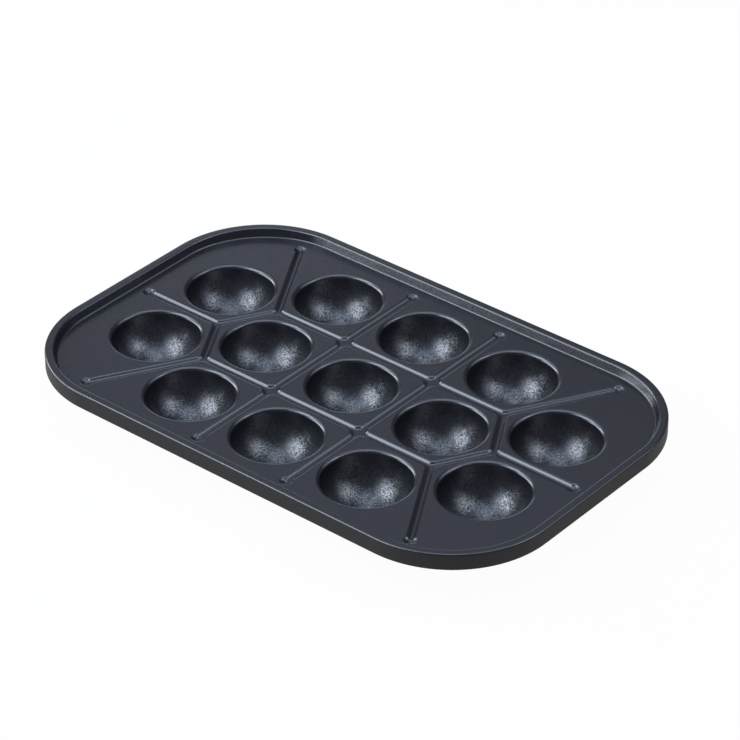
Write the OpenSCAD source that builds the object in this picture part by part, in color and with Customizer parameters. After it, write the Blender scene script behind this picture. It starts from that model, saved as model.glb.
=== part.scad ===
// Takoyaki plate: a shallow tray of cast aluminium with thirteen round cups.
// Origin: under the middle of the plate, on the surface that its cups stand on.
// +X runs along the plate, +Y across it and +Z up. Lengths are in millimetres.

/* [Tray] */
// Length over the rim
plate_l = 266; // [258:1:320]
// Width over the rim
plate_w = 170; // [162:1:220]
// Radius of the corners seen from above
corner_r = 50; // [40:1:60]
// Thickness of the cooking floor
floor_t = 2.6; // [2:0.1:4]

/* [Rim] */
// Height of the rim above the cooking floor
rim_rise = 4.15; // [3:0.05:8]
// Width of the rim's top
rim_land = 3.9; // [3:0.1:5]
// How far the inner wall leans inwards on its way down
rim_lean = 1.4; // [0.5:0.1:3]
// Rounding of the rim's outer top edge
rim_edge_r = 0.9; // [0.3:0.1:1.2]
// Rounding of the rim's inner top edge
rim_lip_r = 1.1; // [0.2:0.1:1.4]
// Rounding where the inner wall meets the floor
rim_root_r = 0.9; // [0.3:0.1:1.6]
// How far the rim's foot hangs below the floor's underside
foot_drop = 0.95; // [0.3:0.05:3]
// Width of the rim's foot
foot_w = 3.6; // [2:0.1:4.4]
// Rounding of the foot's edges
foot_edge_r = 0.25; // [0.1:0.05:0.3]

/* [Cups] */
// Distance between the middles of neighbouring cups
cup_pitch = 50; // [49:0.5:52]
// Diameter of the ball that a cup is the lower half of
cup_d = 40; // [34:0.5:41]
// Depth of a cup below the cooking floor
cup_depth = 19; // [14:0.5:20]
// Wall thickness of a cup
cup_wall = 2.2; // [1.8:0.1:2.6]
// Rounding of a cup's edge
cup_edge_r = 2.1; // [1:0.1:2.5]
// Rounding between a cup's outside and the floor's underside
cup_root_r = 0.8; // [0.3:0.1:1]
// Diameter of the flat that a cup stands on
cup_flat_d = 8; // [4:0.5:12]

/* [Grooves] */
// Width of the dividing grooves, over their roundings
groove_w = 5; // [4:0.1:6]
// Depth of the dividing grooves
groove_depth = 1.2; // [0.8:0.05:1.4]
// Rounding of the grooves' edges
groove_edge_r = 1.5; // [0.5:0.1:2]
// Diameter of the dimple that a groove ends in, over its rounding
dimple_d = 6.8; // [6:0.1:8]
// How much deeper a dimple is than its groove
dimple_sink = 0.15; // [0.1:0.05:0.4]
// Distance from the rim's inner wall to the middle of a dimple
groove_margin = 7; // [5:0.5:10]

/* [Hidden] */
$fn = 96;

coating = [0.17, 0.17, 0.19];
above = 1;            // how far a cut starts above the surface it goes into
edge_steps = 5;       // straight steps in a small rounding
foot_steps = 2;       // the same for the foot's edges
groove_steps = 11;    // straight steps across a groove: odd, for a flat bed
groove_overlap = 0.1; // how far each groove runs past the point where it meets others

// The ball that shapes a cup has its middle a little above the floor.
cup_r = cup_d / 2;
ball_z = cup_r - cup_depth;
dome_r = cup_r + cup_wall;
flat_r = cup_flat_d / 2;
flat_z = ball_z - sqrt(dome_r * dome_r - flat_r * flat_r);
floor_z = -flat_z;

// A rounding that touches a level and the outside of the ball, given the ball's
// radius and the height of the rounding's middle above the ball's middle
function beside_ball(ball, round_r, rise) = sqrt(pow(ball + round_r, 2) - rise * rise);
edge_x = beside_ball(cup_r, cup_edge_r, -cup_edge_r - ball_z);
root_x = beside_ball(dome_r, cup_root_r, -floor_t - cup_root_r - ball_z);
collar_r = max(edge_x, root_x);

// The rim ends where its inner wall has run out into the floor.
wall_w = rim_land + rim_lean;
rim_w = wall_w + rim_root_r;
end_x = plate_l / 2 - wall_w - groove_margin;
end_y = plate_w / 2 - wall_w - groove_margin;
bend = [plate_l / 2 - corner_r, plate_w / 2 - corner_r];

// Cups: three rows of three on a square grid, and a nested pair at each end,
// so that every cup lies one pitch from its neighbours
pair_x = cup_pitch * (1 + cos(30));
half = cup_pitch / 2;
cups = concat(
    [[-pair_x, half], [-pair_x, -half]],
    [for (col = [-1 : 1], row = [1 : -1 : -1]) [col * cup_pitch, row * cup_pitch]],
    [[pair_x, half], [pair_x, -half]]);

// Groove crossings, each equally far from its three nearest cups
fork = [cup_pitch * (1 + tan(30)), 0];
knee = [cup_pitch * (1 + tan(30) / 2), half];
toward_corner = [cos(60), sin(60)];

// Where a slanting groove stops: as far from the rim as the other grooves
function slant_length(from, dir, keep) =
    let (straight = (end_y - from.y) / dir.y,
        off = from - bend,
        b = dir * off)
    from.x + straight * dir.x <= bend.x ? straight : -b + sqrt(b * b - off * off + keep * keep);
slant_end = knee + toward_corner * slant_length(knee, toward_corner, corner_r - wall_w - groove_margin);

// Points that round the corner at b between a and c
function rounded(a, b, c, r, steps) =
    let (u = (a - b) / norm(a - b),
        v = (c - b) / norm(c - b),
        turn = acos(u * v) / 2,
        mid = b + (u + v) / norm(u + v) * r / sin(turn),
        from = b + u * r / tan(turn) - mid,
        to = b + v * r / tan(turn) - mid,
        start = atan2(from.y, from.x),
        sweep = (atan2(to.y, to.x) - start + 540) % 360 - 180)
    [for (i = [0 : steps]) mid + r * [cos(start + sweep * i / steps), sin(start + sweep * i / steps)]];

// Points on an arc
function arc(mid, r, start, stop, steps) =
    [for (i = [0 : steps]) mid + r * [cos(start + (stop - start) * i / steps),
        sin(start + (stop - start) * i / steps)]];

// Section of the rim: x counts outwards from the middle of a corner's bend
module rim_section() {
    out = corner_r;
    foot = -floor_t - foot_drop;
    wall_top = [out - rim_land, rim_rise];
    wall_foot = [out - wall_w, 0];
    floor_edge = [out - rim_w, 0];
    foot_out = [out, foot];
    foot_in = [out - foot_w, foot];
    polygon(concat(
        rounded([out - rim_land, foot], foot_out, [out, 0], foot_edge_r, foot_steps),
        rounded(foot_out, [out, rim_rise], wall_top, rim_edge_r, edge_steps),
        rounded([out, rim_rise], wall_top, wall_foot, rim_lip_r, edge_steps),
        rounded(wall_top, wall_foot, floor_edge, rim_root_r, edge_steps),
        [floor_edge, [out - rim_w, -floor_t], [out - foot_w, -floor_t]],
        rounded([out - foot_w, -floor_t], foot_in, foot_out, foot_edge_r, foot_steps)));
}

// Carries a section around the plate: four bends and the straights between them
module around_plate() {
    for (i = [0 : 3]) {
        out = i % 2 == 0 ? bend : [bend.y, bend.x];
        rotate(90 * i) {
            translate(out)
                rotate_extrude(angle = 90)
                    children();
            translate([out.x, 0, 0])
                rotate([90, 0, 0])
                    linear_extrude(2 * out.y, center = true)
                        children();
        }
    }
}

module rim() {
    color(coating)
        translate([0, 0, floor_z])
            around_plate()
                rim_section();
}

// Cutter's section for a groove or dimple of width w, sunk this deep into a level at 0:
// a hollow bed between two rounded edges, which it touches
function groove_section(w, deep) =
    let (slope = 2 * atan(2 * deep / w),
        bed_r = w / 2 / sin(slope) - groove_edge_r,
        bed = arc([0, bed_r - deep], bed_r, 270 + slope, 270 - slope, groove_steps),
        right = arc([w / 2, -groove_edge_r], groove_edge_r, 90, 90 + slope, edge_steps),
        left = [for (i = [edge_steps : -1 : 0]) [-right[i].x, right[i].y]])
    concat([[w / 2, above]], right, [for (i = [1 : groove_steps - 1]) bed[i]], left, [[-w / 2, above]]);

module groove(from, to) {
    run = to - from;
    translate(from - run / norm(run) * groove_overlap)
        rotate(atan2(run.y, run.x))
            rotate([90, 0, 90])
                linear_extrude(norm(run) + 2 * groove_overlap)
                    polygon(groove_section(groove_w, groove_depth));
}

module dimple(at) {
    deep = groove_depth + dimple_sink;
    translate(at)
        rotate_extrude()
            intersection() {
                polygon(groove_section(dimple_d, deep));
                translate([0, -deep - above])
                    square([dimple_d, deep + 3 * above]);
            }
}

module grooves() {
    for (side = [-1, 1]) {
        groove([side * half, -end_y], [side * half, end_y]);
        groove([-knee.x, side * half], [knee.x, side * half]);
        groove([side * fork.x, 0], [side * end_x, 0]);
        dimple([side * end_x, 0]);
        for (row = [-1, 1]) {
            flip = [[side, 0], [0, row]];
            groove(flip * fork, flip * knee);
            groove(flip * knee, flip * slant_end);
            dimple(flip * slant_end);
            dimple([side * half, row * end_y]);
        }
    }
}

module deck() {
    color(coating)
        translate([0, 0, floor_z])
            difference() {
                translate([0, 0, -floor_t])
                    slab();
                for (at = cups)
                    translate([at.x, at.y, -floor_t - above])
                        cylinder(h = floor_t + 2 * above, r = collar_r);
                grooves();
            }
}

// The floor inside the rim, with its rounded corners
module slab() {
    long = plate_l / 2 - rim_w;
    wide = plate_w / 2 - rim_w;
    translate([-long, -bend.y, 0])
        cube([2 * long, 2 * bend.y, floor_t]);
    for (i = [0 : 3]) {
        out = i % 2 == 0 ? bend : [bend.y, bend.x];
        rotate(90 * i)
            translate(out)
                rotate_extrude(angle = 90)
                    square([corner_r - rim_w, floor_t]);
    }
    for (side = [-1, 1])
        translate([-bend.x, side > 0 ? bend.y : -wide, 0])
            cube([2 * bend.x, wide - bend.y, floor_t]);
}

// Half section of a cup: x counts from its middle and y from the cooking floor
module cup_section() {
    root = [root_x, -floor_t - cup_root_r];
    edge = [edge_x, -cup_edge_r];
    to_root = atan2(root.y - ball_z, root.x);
    to_edge = atan2(edge.y - ball_z, edge.x);
    // Each rounding leaves the ball's surface by a short chord that starts a little
    // inside the metal, so that the two curves cross and don't only just touch.
    sink = 0.05;
    root_chord = 20;
    edge_chord = 10;
    difference() {
        union() {
            intersection() {
                translate([0, ball_z])
                    circle(dome_r);
                translate([0, flat_z])
                    square([dome_r, -floor_t - flat_z]);
            }
            polygon(concat(
                [[0, flat_z], (dome_r - cup_wall / 2) * [cos(to_root), sin(to_root)] + [0, ball_z]],
                [(dome_r - sink) * [cos(to_root), sin(to_root)] + [0, ball_z]],
                arc(root, cup_root_r, to_root + 180 - root_chord, 90, edge_steps),
                [[collar_r, -floor_t], [collar_r, 0]],
                arc(edge, cup_edge_r, 90, to_edge + 180 - edge_chord, edge_steps),
                [(cup_r - sink) * [cos(to_edge), sin(to_edge)] + [0, ball_z], [0, edge.y]]));
        }
        translate([0, ball_z])
            circle(cup_r);
    }
}

module cup(at) {
    color(coating)
        translate([at.x, at.y, floor_z])
            rotate_extrude()
                cup_section();
}

rim();
deck();
for (i = [0 : len(cups) - 1])
    cup(cups[i]);
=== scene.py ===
import math
import bpy
from mathutils import Euler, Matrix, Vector


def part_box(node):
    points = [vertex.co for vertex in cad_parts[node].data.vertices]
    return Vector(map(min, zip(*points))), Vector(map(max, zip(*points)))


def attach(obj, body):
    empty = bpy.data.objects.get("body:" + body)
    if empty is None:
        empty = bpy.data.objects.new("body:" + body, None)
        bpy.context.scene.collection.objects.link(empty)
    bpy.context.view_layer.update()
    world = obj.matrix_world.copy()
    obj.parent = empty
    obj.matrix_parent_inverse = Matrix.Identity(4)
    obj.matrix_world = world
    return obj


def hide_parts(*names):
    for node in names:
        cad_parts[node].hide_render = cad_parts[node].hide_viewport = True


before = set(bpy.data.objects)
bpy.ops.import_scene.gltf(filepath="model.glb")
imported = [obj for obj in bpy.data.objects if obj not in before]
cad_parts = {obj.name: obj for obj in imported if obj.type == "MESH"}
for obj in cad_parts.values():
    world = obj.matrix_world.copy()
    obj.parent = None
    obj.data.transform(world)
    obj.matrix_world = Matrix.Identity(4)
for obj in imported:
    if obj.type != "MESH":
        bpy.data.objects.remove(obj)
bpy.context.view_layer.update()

mm = 0.001
spare = 1 * mm                         # how far a cutting tool stands above what it cuts
weld = 0.002 * mm                      # corners closer than this are merged
near = 0.01 * mm                       # heights and open ends closer than this are made one
level = 0.9                            # a level face's normal is at least this far upright

cups = [name for name in sorted(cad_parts) if name.startswith("cup_")]
rimLow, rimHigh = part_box("rim")
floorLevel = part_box("cup_07")[1].z    # the cooking floor
cupMiddles = [sum(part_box(name), Vector()) / 2 for name in cups]
pitch = (cupMiddles[2] - cupMiddles[3]).length    # cups 3 and 4 stand side by side
print("frame: %d cups, floor at %.2f mm" % (len(cups), floorLevel / mm))


# small helpers, in the frame of the solids

def deselectAll():
    if bpy.context.object and bpy.context.object.mode == "EDIT":
        bpy.ops.object.mode_set(mode="OBJECT")
    bpy.ops.object.select_all(action="DESELECT")


def pick(piece):    # the only thing selected
    deselectAll()
    piece.select_set(True)
    bpy.context.view_layer.objects.active = piece


def startSelecting(piece, kind):    # nothing selected, and the piece ready to be picked from
    bpy.ops.object.mode_set(mode="EDIT")
    bpy.ops.mesh.select_mode(type=kind)
    bpy.ops.mesh.select_all(action="DESELECT")
    bpy.ops.object.mode_set(mode="OBJECT")


def editWhole():    # in edit mode, with all of the piece selected
    bpy.ops.object.mode_set(mode="EDIT")
    bpy.ops.mesh.select_all(action="SELECT")


def faceOutwards():    # and back to object mode
    bpy.ops.mesh.select_all(action="SELECT")
    bpy.ops.mesh.normals_make_consistent(inside=False)
    bpy.ops.object.mode_set(mode="OBJECT")


def fillet(before, corner, after, radius, steps):    # points that round a corner of an outline
    before, corner, after = Vector(before), Vector(corner), Vector(after)
    u, v = (before - corner).normalized(), (after - corner).normalized()
    turn = u.angle(v) / 2
    middle = corner + (u + v).normalized() * radius / math.sin(turn)
    start = corner + u * radius / math.tan(turn) - middle
    sweep = start.angle_signed(corner + v * radius / math.tan(turn) - middle)
    return [middle + Vector((math.cos(k), math.sin(k))) * radius
            for k in (math.atan2(start.y, start.x) - sweep * i / steps for i in range(steps + 1))]


def arc(middle, radius, start, stop, steps):    # angles in degrees
    turn = [math.radians(start + (stop - start) * i / steps) for i in range(steps + 1)]
    return [Vector(middle) + Vector((math.cos(k), math.sin(k))) * radius for k in turn]


def drawLine(name, points, closed=False):    # edges through (across, up) points; closed adds the face
    deselectAll()
    points = [Vector((p[0], 0, p[1])) for p in points]
    bpy.ops.mesh.primitive_plane_add(size=mm, location=points[0])    # merged to the first point
    line = bpy.context.object
    line.name = name
    bpy.ops.object.transform_apply(location=True)
    bpy.ops.object.mode_set(mode="EDIT")
    bpy.ops.mesh.select_mode(type="VERT")
    bpy.ops.mesh.select_all(action="SELECT")
    bpy.ops.mesh.merge(type="CENTER")
    for here, there in zip(points, points[1:]):
        bpy.ops.mesh.extrude_region_move(TRANSFORM_OT_translate={"value": there - here})
    if closed:
        bpy.ops.mesh.select_all(action="SELECT")
        bpy.ops.mesh.edge_face_add()
    bpy.ops.object.mode_set(mode="OBJECT")
    return line


def spinSolid(name, points, steps):    # a half section turned round the Z axis
    solid = drawLine(name, points)
    editWhole()
    bpy.ops.mesh.spin(steps=steps, angle=2 * math.pi, center=(0, 0, 0), axis=(0, 0, 1))
    bpy.ops.mesh.select_all(action="SELECT")
    bpy.ops.mesh.remove_doubles(threshold=weld)
    faceOutwards()
    return solid


def flatten(piece, height):    # puts what lies near a height exactly on it
    pick(piece)
    for vertex in piece.data.vertices:
        if abs(vertex.co.z - height) < near:
            vertex.co.z = height


def copyTo(piece, places):    # one copy at each place, all joined into one object
    made = []
    for place in places:
        pick(piece)
        bpy.ops.object.duplicate(linked=False)
        bpy.ops.transform.translate(value=(place.x, place.y, 0))
        bpy.ops.object.transform_apply(location=True)
        made.append(bpy.context.object)
    pick(piece)
    bpy.ops.object.delete()
    return joinAll(made)


def joinAll(parts):
    deselectAll()
    for part in parts:
        part.select_set(True)
    bpy.context.view_layer.objects.active = parts[0]
    bpy.ops.object.join()
    return bpy.context.object


def cut(piece, tool, operation="DIFFERENCE", crossing=False):
    pick(piece)
    bpy.ops.object.modifier_add(type="BOOLEAN")
    modifier = piece.modifiers[-1]
    modifier.object = tool
    modifier.operation = operation
    modifier.solver = "EXACT"
    modifier.use_self = crossing
    bpy.ops.object.modifier_apply(modifier=modifier.name)
    pick(tool)
    bpy.ops.object.delete()
    pick(piece)
    print("%s %s: %d faces" % (piece.name, operation.lower(), len(piece.data.polygons)))


# the tray: a block with round corners, stepped in ring by ring above and below

tray = {
    "cornerRadius": 50 * mm, "cornerSteps": 32,
    "floor": 2.6 * mm,                 # thickness
    "land": 3.9 * mm,                  # the rim's flat top
    "lean": 1.4 * mm,                  # of the inner wall
    "edgeRadius": 0.9 * mm, "lipRadius": 1.1 * mm, "rootRadius": 0.9 * mm, "edgeSteps": 6,
    "footWidth": 3.6 * mm, "footLean": 0.1 * mm,
    "footRadius": 0.25 * mm, "footRootRadius": 0.3 * mm, "footSteps": 3,
}


def stepIn(points):    # insets the selected face along (inwards, up) points
    for here, there in zip(points, points[1:]):
        bpy.ops.mesh.inset(thickness=there.x - here.x, depth=there.y - here.y, use_even_offset=True)


def selectCap(piece, side):    # the large flat face above (1) or below (-1)
    startSelecting(piece, "FACE")
    caps = [face for face in piece.data.polygons if face.normal.z * side > level]
    max(caps, key=lambda face: face.area).select = True
    bpy.ops.object.mode_set(mode="EDIT")


def makeTray():
    top, foot = rimHigh.z, rimLow.z
    under = floorLevel - tray["floor"]
    edge, steps = tray["edgeRadius"], tray["edgeSteps"]
    footEdge, footSteps = tray["footRadius"], tray["footSteps"]
    length, width = rimHigh.x - rimLow.x, rimHigh.y - rimLow.y
    low, high = foot + footEdge, top - edge
    deselectAll()
    bpy.ops.mesh.primitive_cube_add(size=1, location=(0, 0, (low + high) / 2),
                                    scale=(length, width, high - low))
    piece = bpy.context.object
    piece.name = "plate"
    bpy.ops.object.transform_apply(location=True, scale=True)
    startSelecting(piece, "EDGE")
    for line in piece.data.edges:
        a, b = (piece.data.vertices[i].co for i in line.vertices)
        line.select = abs(a.z - b.z) > near    # the four upright ones
    bpy.ops.object.mode_set(mode="EDIT")
    bpy.ops.mesh.bevel(offset=tray["cornerRadius"], offset_type="OFFSET", segments=tray["cornerSteps"],
                       profile=0.5, affect="EDGES")

    wallTop = (tray["land"], top)
    wallFoot = (tray["land"] + tray["lean"], floorLevel)
    inner = (2 * wallFoot[0], floorLevel)    # any point further in on the floor
    above = (fillet((0, foot), (0, top), wallTop, edge, steps)
             + fillet((0, top), wallTop, wallFoot, tray["lipRadius"], steps)
             + fillet(wallTop, wallFoot, inner, tray["rootRadius"], steps))
    selectCap(piece, 1)
    stepIn(above)

    footIn = (tray["footWidth"], foot)
    footTop = (tray["footWidth"] + tray["footLean"], under)
    below = (fillet((0, top), (0, foot), footIn, footEdge, footSteps)
             + fillet((0, foot), footIn, footTop, footEdge, footSteps)
             + fillet(footIn, footTop, (inner[0], under), tray["footRootRadius"], footSteps))
    selectCap(piece, -1)
    stepIn([Vector((p.x, -p.y)) for p in below])
    bpy.ops.object.mode_set(mode="OBJECT")
    flatten(piece, floorLevel)
    flatten(piece, under)
    print("tray: %d faces" % len(piece.data.polygons))
    return piece


# the cups: a ball's dome outside and a ball's bowl inside

cup = {
    "ball": 20 * mm,                   # radius of the bowl
    "depth": 19 * mm,
    "wall": 2.2 * mm,
    "flat": 4 * mm,                    # radius of the flat underneath
    "edgeRadius": 2.1 * mm, "edgeSteps": 9, "bowlSteps": 22, "bowlTurns": 80,
    "rootRadius": 0.8 * mm, "rootSteps": 6, "domeSteps": 16, "domeTurns": 64,
}


def makeDome():
    middle = Vector((0, floorLevel + cup["ball"] - cup["depth"]))
    under = floorLevel - tray["floor"]
    radius, root = cup["ball"] + cup["wall"], cup["rootRadius"]
    rise = middle.y - (under - root)
    across = math.sqrt((radius + root) ** 2 - rise ** 2)
    touch = math.degrees(math.atan2(-rise, across))
    bottom = -math.degrees(math.acos(cup["flat"] / radius))
    section = ([(0, under + spare), (across, under + spare)]
               + arc((across, under - root), root, 90, 180 + touch, cup["rootSteps"])
               + arc(middle, radius, touch, bottom, cup["domeSteps"])[1:]
               + [(0, 0)])
    dome = spinSolid("dome", section, cup["domeTurns"])
    flatten(dome, under)
    flatten(dome, 0)
    return copyTo(dome, cupMiddles)


def makeBowl():
    middle = Vector((0, floorLevel + cup["ball"] - cup["depth"]))
    radius, edge = cup["ball"], cup["edgeRadius"]
    rise = middle.y - (floorLevel - edge)
    across = math.sqrt((radius + edge) ** 2 - rise ** 2)
    touch = math.degrees(math.atan2(-rise, across))
    section = ([(0, floorLevel + spare), (across, floorLevel + spare)]
               + arc((across, floorLevel - edge), edge, 90, 180 + touch, cup["edgeSteps"])
               + arc(middle, radius, touch, -90, cup["bowlSteps"])[1:])
    bowl = spinSolid("bowl", section, cup["bowlTurns"])
    flatten(bowl, floorLevel)
    return copyTo(bowl, cupMiddles)


# the grooves: tubes with a hollow bed between round crossings, and a dimple where one ends

groove = {
    "width": 5 * mm, "depth": 1.2 * mm,    # width over its roundings
    "edgeRadius": 1.5 * mm,
    "bedSteps": 15, "edgeSteps": 8,
    "dimple": 6.8 * mm, "dimpleDepth": 1.35 * mm, "dimpleSteps": 40,
    "margin": 7 * mm,                  # from the inner wall to a dimple's middle
    "panelRadius": 2 * mm, "panelSteps": 8,    # of the corners, in plan, of the floor between grooves
    "slant": 60,                       # degrees from the long side, which spreads a Y's arms evenly
}


def grooveSide(width, depth):    # half a section, from the floor in and down to the bed
    half = width / 2
    slope = 2 * math.atan(depth / half)
    bed = half / math.sin(slope) - groove["edgeRadius"]
    opening = math.degrees(slope)
    edge = arc((half, floorLevel - groove["edgeRadius"]), groove["edgeRadius"],
               90, 90 + opening, groove["edgeSteps"])
    hollow = arc((0, floorLevel - depth + bed), bed, 270 + opening, 270 - opening, groove["bedSteps"])
    return [Vector((half, floorLevel + spare))] + edge + hollow[1:(groove["bedSteps"] + 1) // 2]


def grooveHalf():    # from the middle of the lid out, and in again along the side to the bed
    side = grooveSide(groove["width"], groove["depth"])
    return [Vector((side[-1].x, floorLevel + spare))] + side


def cornerReach():    # from the middle of a corner to the middle of the groove
    return groove["panelRadius"] + groove["width"] / 2


def crossingReach(arms):    # how far a crossing reaches along its arms
    return cornerReach() / math.tan(math.pi / arms)


def grooveBar(start, end, startArms=1, endArms=1):    # an end with one arm is a free end
    way = (end - start).normalized()
    if startArms > 1:
        start = start + way * crossingReach(startArms)
    if endArms > 1:
        end = end - way * crossingReach(endArms)
    half = grooveHalf()
    bar = drawLine("bar", half + [Vector((-p.x, p.y)) for p in reversed(half)] + half[:1])
    editWhole()
    bpy.ops.mesh.extrude_region_move(TRANSFORM_OT_translate={"value": (0, (end - start).length, 0)})
    bpy.ops.object.mode_set(mode="OBJECT")
    bar.rotation_euler.z = math.atan2(way.y, way.x) - math.pi / 2
    bar.location = (start.x, start.y, 0)
    bpy.ops.object.transform_apply(location=True, rotation=True)
    return bar


def panelCorner(crossing, first, second):    # half the groove, swept from one arm to the next
    reach, between = cornerReach(), first.angle(second)
    middle = crossing + (first + second).normalized() * reach / math.sin(between / 2)
    foot = crossing + first * reach / math.tan(between / 2) - middle
    start, sweep = math.atan2(foot.y, foot.x), between - math.pi
    half = grooveHalf()
    corner = drawLine("corner", [(reach - p.x, p.y) for p in half])
    editWhole()
    bpy.ops.mesh.spin(steps=groove["panelSteps"], angle=-sweep, center=(0, 0, 0), axis=(0, 0, 1))
    bpy.ops.object.mode_set(mode="OBJECT")
    corner.rotation_euler.z = start
    corner.location = (middle.x, middle.y, 0)
    bpy.ops.object.transform_apply(location=True, rotation=True)
    inner = arc(middle, reach - half[-1].x, math.degrees(start), math.degrees(start + sweep),
                groove["panelSteps"])
    return corner, inner


def makeCrossing(crossing, compass, count):    # arms evenly round it, the first at an angle from +X
    turns = [math.radians(compass + 360 * i / count) for i in range(count + 1)]
    arms = [Vector((math.cos(k), math.sin(k))) for k in turns]
    corners, outline = [], []
    for first, second in zip(arms, arms[1:]):
        corner, inner = panelCorner(crossing, first, second)
        corners.append(corner)
        outline += inner
    hub = drawLine("hub", outline, closed=True)    # the flat bed between the corners, and its lid
    hub.rotation_euler.x = -math.pi / 2
    bed = grooveHalf()[-1].y
    hub.location.z = bed
    bpy.ops.object.transform_apply(location=True, rotation=True)
    editWhole()
    bpy.ops.mesh.duplicate_move(TRANSFORM_OT_translate={"value": (0, 0, floorLevel + spare - bed)})
    bpy.ops.object.mode_set(mode="OBJECT")
    return joinAll(corners + [hub])


def makeDimples(places):
    side = grooveSide(groove["dimple"], groove["dimpleDepth"])
    bed = floorLevel - groove["dimpleDepth"]
    section = [(0, floorLevel + spare)] + side + [(0, bed)]
    dimple = spinSolid("dimple", section, groove["dimpleSteps"])
    flatten(dimple, floorLevel)
    return copyTo(dimple, places)


def slantEnd(knee, slant, inset):    # where a slanted groove is as far from the wall as the others end
    bend = Vector((rimHigh.x - tray["cornerRadius"], rimHigh.y - tray["cornerRadius"]))
    along = (knee - bend).dot(slant)
    keep = tray["cornerRadius"] - inset
    return knee + slant * (-along + math.sqrt(along ** 2 - (knee - bend).length_squared + keep ** 2))


def makeGrooves():
    half, angle = pitch / 2, math.radians(groove["slant"])
    inset = tray["land"] + tray["lean"] + groove["margin"]
    endX, endY = rimHigh.x - inset, rimHigh.y - inset
    spread = pitch / math.tan(angle)
    fork, knee = Vector((pitch + spread, 0)), Vector((pitch + spread / 2, half))
    slant = Vector((math.cos(angle), math.sin(angle)))
    corner = slantEnd(knee, slant, inset)
    parts, ends = [], []
    for side in (-1, 1):
        kneeTurn, forkTurn = (60, 0) if side > 0 else (0, 60)    # of the first of three arms
        for row in (-1, 1):
            flip = Vector((side, row))
            node, spur = Vector((half, half)) * flip, Vector((half, endY)) * flip
            parts.append(makeCrossing(node, 0, 4))
            parts.append(makeCrossing(knee * flip, kneeTurn, 3))
            parts.append(grooveBar(node, spur, 4))
            parts.append(grooveBar(node, knee * flip, 4, 3))
            parts.append(grooveBar(fork * flip, knee * flip, 3, 3))
            parts.append(grooveBar(knee * flip, corner * flip, 3))
            ends += [corner * flip, spur]
        end = Vector((side * endX, 0))
        parts.append(makeCrossing(fork * side, forkTurn, 3))
        parts.append(grooveBar(fork * side, end, 3))
        parts.append(grooveBar(Vector((side * half, -half)), Vector((side * half, half)), 4, 4))
        parts.append(grooveBar(Vector((-half, side * half)), Vector((half, side * half)), 4, 4))
        ends.append(end)
    network = joinAll(parts)
    editWhole()
    bpy.ops.mesh.remove_doubles(threshold=near)
    bpy.ops.mesh.select_all(action="SELECT")
    bpy.ops.mesh.fill_holes(sides=0)    # the free ends
    faceOutwards()
    print("groove network: %d faces" % len(network.data.polygons))
    grooves = joinAll([network, makeDimples(ends)])
    flatten(grooves, floorLevel)
    flatten(grooves, grooveHalf()[-1].y)
    return grooves


finish = {
    "sliver": 0.001 * mm,              # faces thinner than this are dissolved
    "smooth": 32,                      # degrees, the sharpest bend that is shaded smooth
}

plate = makeTray()
cut(plate, makeGrooves(), crossing=True)
cut(plate, makeDome(), "UNION")
cut(plate, makeBowl())

# smooth over the roundings, and truly flat on the flats
pick(plate)
editWhole()
bpy.ops.mesh.remove_doubles(threshold=weld)
bpy.ops.mesh.dissolve_degenerate(threshold=finish["sliver"])
bpy.ops.object.mode_set(mode="OBJECT")
bpy.ops.object.shade_smooth_by_angle(angle=math.radians(finish["smooth"]))
bpy.ops.object.modifier_add(type="WEIGHTED_NORMAL")
plate.modifiers[-1].keep_sharp = True
bpy.ops.object.modifier_apply(modifier=plate.modifiers[-1].name)


# finishes: the black cooking surface with its metal flecks, and the duller paint outside

coating = {
    "colour": (0.0104, 0.0110, 0.0142, 1),
    "roughFloor": 0.22, "roughCup": 0.27,
    "ior": 1.85, "specular": 1.0,
    "flake": 0.33 * mm,                # size of a fleck
    "smoothTo": 2 * mm, "flakesFrom": 5 * mm,    # below the floor: the flecks show in the cups
    "tiltFloor": 0.05, "tiltCup": 0.13,
    "dullest": 0.1, "shineFloor": 0.54,    # shares of the full shine: of the dullest fleck and of the floor
}
paint = {
    "colour": (0.0172, 0.0161, 0.0152, 1),
    "roughness": 0.62,
    "specular": 0.32,
    "grain": 0.5 * mm, "bump": 0.3, "bumpHeight": 0.05 * mm,
    "border": 0.2 * mm, "steep": 0.5,  # the outer wall: this near the outline, and no more level than this
    "overhang": 0.01,                  # underneath: normals that look down by more than this
}


def nodesOf(name):
    material = bpy.data.materials.new(name)
    material.use_nodes = True
    return material, material.node_tree.nodes, material.node_tree.links.new


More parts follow.
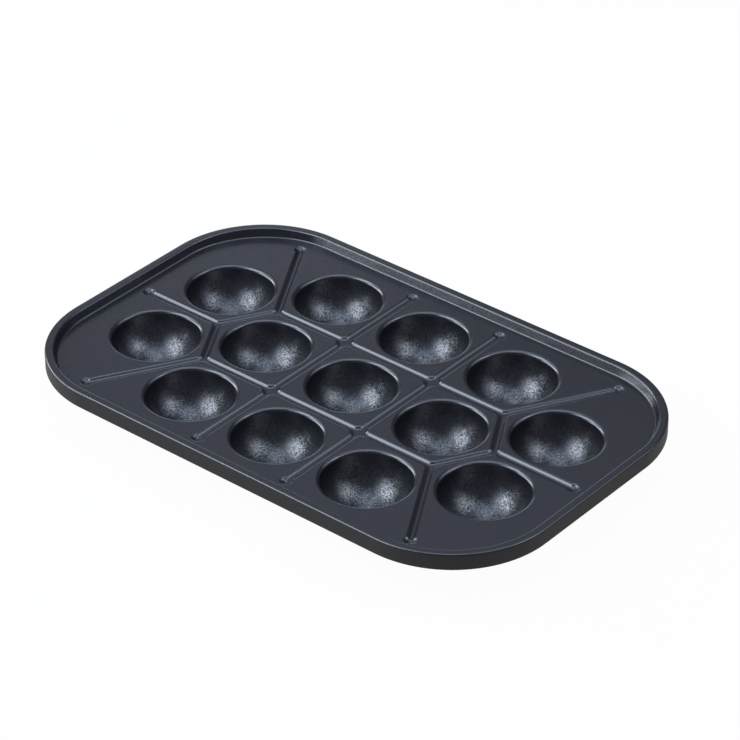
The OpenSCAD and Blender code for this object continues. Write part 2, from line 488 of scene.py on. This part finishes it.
def makeCoating():
    material, nodes, link = nodesOf("coating")
    shader = nodes["Principled BSDF"]
    place = nodes.new("ShaderNodeTexCoord")
    flakes = nodes.new("ShaderNodeTexVoronoi")
    flakes.inputs["Scale"].default_value = 1 / coating["flake"]
    link(place.outputs["Object"], flakes.inputs["Vector"])

    split = nodes.new("ShaderNodeSeparateXYZ")
    link(place.outputs["Object"], split.inputs[0])
    inCup = nodes.new("ShaderNodeMapRange")
    inCup.inputs["From Min"].default_value = floorLevel - coating["smoothTo"]
    inCup.inputs["From Max"].default_value = floorLevel - coating["flakesFrom"]
    link(split.outputs["Z"], inCup.inputs["Value"])

    tilt = nodes.new("ShaderNodeVectorMath")    # every fleck leans its own way
    tilt.operation = "SUBTRACT"
    link(flakes.outputs["Color"], tilt.inputs[0])
    tilt.inputs[1].default_value = (0.5, 0.5, 0.5)    # the middle of the random colours
    amount = nodes.new("ShaderNodeMapRange")
    amount.inputs["To Min"].default_value = coating["tiltFloor"]
    amount.inputs["To Max"].default_value = coating["tiltCup"]
    link(inCup.outputs[0], amount.inputs["Value"])
    lean = nodes.new("ShaderNodeVectorMath")
    lean.operation = "MULTIPLY_ADD"
    link(tilt.outputs[0], lean.inputs[0])
    link(amount.outputs[0], lean.inputs[1])
    surface = nodes.new("ShaderNodeNewGeometry")
    link(surface.outputs["Normal"], lean.inputs[2])
    normal = nodes.new("ShaderNodeVectorMath")
    normal.operation = "NORMALIZE"
    link(lean.outputs[0], normal.inputs[0])
    link(normal.outputs[0], shader.inputs["Normal"])

    bright = nodes.new("ShaderNodeSeparateColor")    # and has its own share of the shine
    link(flakes.outputs["Color"], bright.inputs[0])
    shine = nodes.new("ShaderNodeMapRange")
    shine.inputs["To Min"].default_value = coating["dullest"]
    link(bright.outputs[0], shine.inputs["Value"])
    tint = nodes.new("ShaderNodeMix")
    link(inCup.outputs[0], tint.inputs[0])
    tint.inputs[2].default_value = coating["shineFloor"]
    link(shine.outputs[0], tint.inputs[3])
    link(tint.outputs[0], shader.inputs["Specular Tint"])

    shader.inputs["Base Color"].default_value = coating["colour"]
    shader.inputs["IOR"].default_value = coating["ior"]
    shader.inputs["Specular IOR Level"].default_value = coating["specular"]
    rough = nodes.new("ShaderNodeMapRange")
    rough.inputs["To Min"].default_value = coating["roughFloor"]
    rough.inputs["To Max"].default_value = coating["roughCup"]
    link(inCup.outputs[0], rough.inputs["Value"])
    link(rough.outputs[0], shader.inputs["Roughness"])
    return material


def makePaint():
    material, nodes, link = nodesOf("paint")
    shader = nodes["Principled BSDF"]
    place = nodes.new("ShaderNodeTexCoord")
    grain = nodes.new("ShaderNodeTexNoise")
    grain.inputs["Scale"].default_value = 1 / paint["grain"]
    link(place.outputs["Object"], grain.inputs["Vector"])
    bump = nodes.new("ShaderNodeBump")
    bump.inputs["Strength"].default_value = paint["bump"]
    bump.inputs["Distance"].default_value = paint["bumpHeight"]
    link(grain.outputs["Fac"], bump.inputs["Height"])
    link(bump.outputs[0], shader.inputs["Normal"])
    shader.inputs["Base Color"].default_value = paint["colour"]
    shader.inputs["Roughness"].default_value = paint["roughness"]
    shader.inputs["Specular IOR Level"].default_value = paint["specular"]
    return material


def isPainted(face):    # the outer wall, and everything that looks down
    across = Vector((max(abs(face.center.x) - rimHigh.x + tray["cornerRadius"], 0),
                     max(abs(face.center.y) - rimHigh.y + tray["cornerRadius"], 0)))
    outside = across.length > tray["cornerRadius"] - paint["border"]
    return face.normal.z < -paint["overhang"] or outside and abs(face.normal.z) < paint["steep"]


plate.data.materials.clear()
plate.data.materials.append(makeCoating())
plate.data.materials.append(makePaint())
for face in plate.data.polygons:
    face.material_index = 1 if isPainted(face) else 0
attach(plate, "root")
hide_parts("rim", "deck", *cups)
print("plate: %d faces" % len(plate.data.polygons))


# camera, ground and light

camera = {
    "place": (0.79696, -0.94391, 0.84631),
    "tilt": 56.505, "roll": 0.071, "turn": 39.764,    # degrees
    "lens": 165.37, "sensor": 36,      # mm
    "far": 20,                         # metres, the end of what it sees
}
window, daylight, sky = (0.91, 0.94, 1.0), (0.80, 0.88, 1.0), (0.66, 0.79, 1.0)
lamps = {    # degrees, with compass 0 along +Y and 90 along +X; size across and up; light in W/(m2 sr)
    "left": {"compass": -137, "height": 44, "size": (0.85, 0.75), "light": 4.3, "colour": daylight},
    "leftLow": {"compass": -120, "height": 12, "size": (1.1, 0.45), "light": 5.4, "colour": daylight},
    "leftSide": {"compass": -108, "height": 36, "size": (0.62, 0.75), "light": 1.5, "colour": sky},
    "leftHigh": {"compass": -130, "height": 65, "size": (0.75, 0.45), "light": 0.82, "colour": sky},
    "leftFar": {"compass": -165, "height": 48, "size": (0.5, 0.8), "light": 1.7, "colour": sky},
    "leftWall": {"compass": -148, "height": 5, "size": (0.35, 0.24), "light": 1.6, "colour": daylight},
    "side": {"compass": -82, "height": 35, "size": (0.4, 0.7), "light": 1.3, "colour": daylight},
    "sideLow": {"compass": -93, "height": 15, "size": (0.3, 0.35), "light": 7.4, "colour": window},
    "right": {"compass": 60, "height": 43, "size": (0.55, 0.55), "light": 2.9, "colour": daylight},
    "rightHigh": {"compass": 60, "height": 63, "size": (0.5, 0.45), "light": 1.1, "colour": sky},
    "rightSide": {"compass": 88, "height": 55, "size": (0.45, 0.35), "light": 1, "colour": sky},
    "rightBack": {"compass": 33, "height": 40, "size": (0.5, 0.6), "light": 1.15, "colour": sky},
    "rightLow": {"compass": 48, "height": 21, "size": (0.9, 0.38), "light": 0.72, "colour": sky},
    "top": {"compass": 0, "height": 90, "size": (0.9, 0.9), "light": 1.7, "colour": sky},
    "topBack": {"compass": -40, "height": 62, "size": (1.0, 0.42), "light": 1.1, "colour": sky},
    "back": {"compass": -45, "height": 22, "size": (0.45, 0.38), "light": 0.64, "colour": daylight},
    "backHigh": {"compass": -39, "height": 41, "size": (0.7, 0.4), "light": 0.26, "colour": daylight},
    "backLow": {"compass": -46, "height": 7, "size": (0.7, 0.3), "light": 1.6, "colour": sky},
}
lampDistance = 1.4                     # metres, from the plate's middle
room = (0.10, 0.10, 0.13, 1)           # the plain light all round
ground = {
    "size": 8,                         # metres
    "drop": 0.05 * mm,                 # below the cups' flats
    "colour": (0.80, 0.80, 0.80, 1), "roughness": 0.9,
    "white": 0.97,                     # share of plain white that the camera and mirrors see
}


def towards(compass, height):
    compass, height = math.radians(compass), math.radians(height)
    flat = math.cos(height)
    return Vector((math.sin(compass) * flat, math.cos(compass) * flat, math.sin(height)))


def makeCamera():
    turned = Euler([math.radians(camera[k]) for k in ("tilt", "roll", "turn")])
    bpy.ops.object.camera_add(location=camera["place"], rotation=turned)
    eye = bpy.context.object
    eye.data.lens = camera["lens"]
    eye.data.sensor_width = camera["sensor"]
    eye.data.clip_end = camera["far"]
    bpy.context.scene.camera = eye


def makeLamp(name, lamp):
    way = towards(lamp["compass"], lamp["height"])
    across, up = lamp["size"]
    turned = way.to_track_quat("Z", "Y").to_euler()
    bpy.ops.object.light_add(type="AREA", location=way * lampDistance, rotation=turned)
    made = bpy.context.object
    made.name = name
    made.data.energy = lamp["light"] * math.pi * across * up
    made.data.shape = "RECTANGLE"
    made.data.size, made.data.size_y = across, up
    made.data.color = lamp["colour"]


def makeGround():
    bpy.ops.mesh.primitive_plane_add(size=ground["size"], location=(0, 0, -ground["drop"]))
    made = bpy.context.object
    made.name = "ground"
    material, nodes, link = nodesOf("ground")
    shader = nodes["Principled BSDF"]
    shader.inputs["Base Color"].default_value = ground["colour"]
    shader.inputs["Roughness"].default_value = ground["roughness"]
    white = nodes.new("ShaderNodeEmission")
    path = nodes.new("ShaderNodeLightPath")
    seen = path.outputs["Is Camera Ray"]
    for kind in ("Is Glossy Ray", "Is Transmission Ray"):    # so that reflections show the white too
        either = nodes.new("ShaderNodeMath")
        either.operation = "MAXIMUM"
        link(seen, either.inputs[0])
        link(path.outputs[kind], either.inputs[1])
        seen = either.outputs[0]
    share = nodes.new("ShaderNodeMath")
    share.operation = "MULTIPLY"
    link(seen, share.inputs[0])
    share.inputs[1].default_value = ground["white"]
    mix = nodes.new("ShaderNodeMixShader")
    link(share.outputs[0], mix.inputs[0])
    link(shader.outputs[0], mix.inputs[1])
    link(white.outputs[0], mix.inputs[2])
    link(mix.outputs[0], nodes["Material Output"].inputs["Surface"])
    made.data.materials.append(material)


def makeRoom():
    world = bpy.data.worlds.new("room")
    bpy.context.scene.world = world
    world.use_nodes = True
    world.node_tree.nodes["Background"].inputs["Color"].default_value = room


deselectAll()
makeCamera()
for name, lamp in lamps.items():
    makeLamp(name, lamp)
makeGround()
makeRoom()
print("stage: %d lamps" % len(lamps))
bpy.context.scene.view_settings.view_transform = "Standard"
